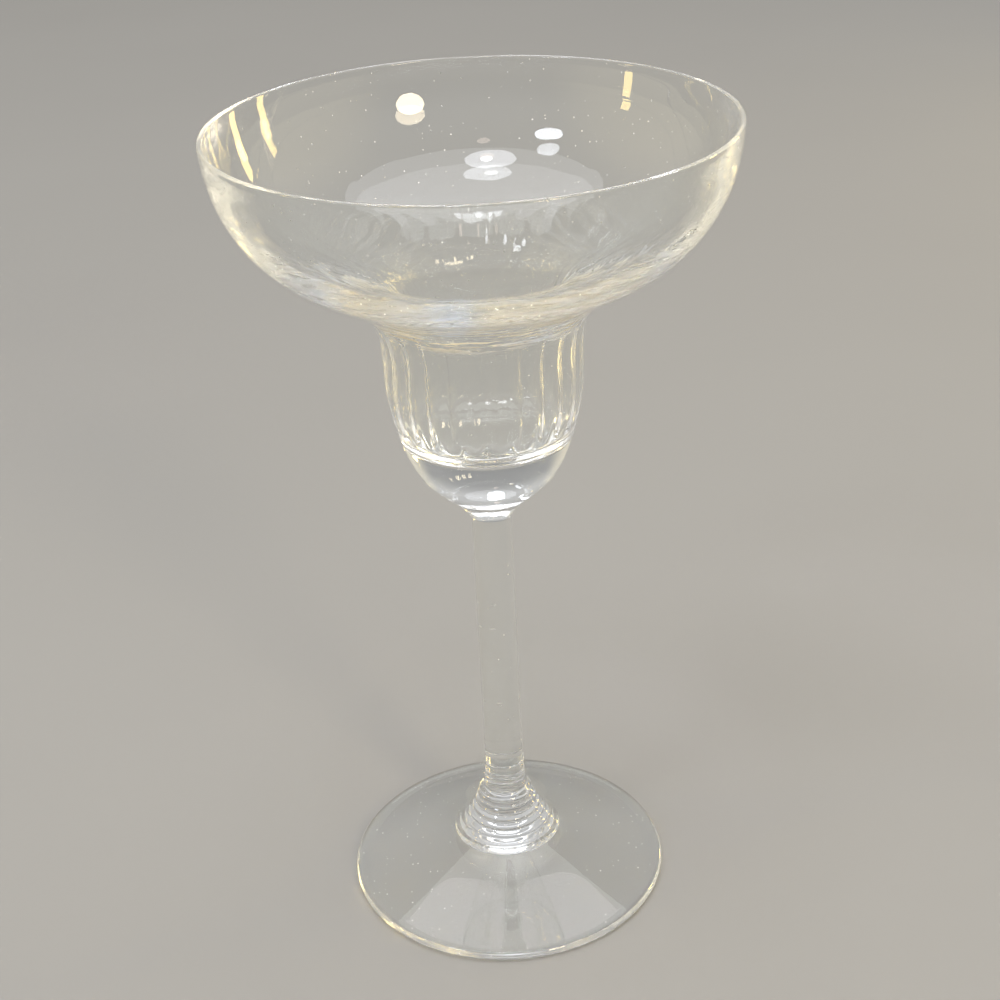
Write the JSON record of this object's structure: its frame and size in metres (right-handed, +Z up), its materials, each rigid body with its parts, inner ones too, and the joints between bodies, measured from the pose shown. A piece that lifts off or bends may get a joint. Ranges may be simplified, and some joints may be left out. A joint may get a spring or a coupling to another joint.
{
  "type": "margarita glass",
  "caption": "Clear stemmed cocktail glass: wide shallow bowl folded into a narrower fluted cup, plain stem, ringed knop and round foot.",
  "frame": {"origin": "centre of the foot's underside, on the plane that the glass stands on", "axes": "+Z up along the axis of the stem and bowl; X and Y are level and interchangeable"},
  "size_m": [0.112, 0.112, 0.1908],
  "materials": {
    "blown_glass": "clear colourless soda-lime glass, blown, fire-polished lip, faint optic flutes inside the cup",
    "drawn_glass": "clear colourless soda-lime glass, drawn, smooth and glossy",
    "pressed_glass": "clear colourless soda-lime glass, pressed and fire-polished, glossy"
  },
  "bodies": {
    "root": {"foot": "pressed_glass", "ringed_knop": "pressed_glass", "stem": "drawn_glass", "collar": "drawn_glass", "bowl": "blown_glass"}
  },
  "joints": []
}
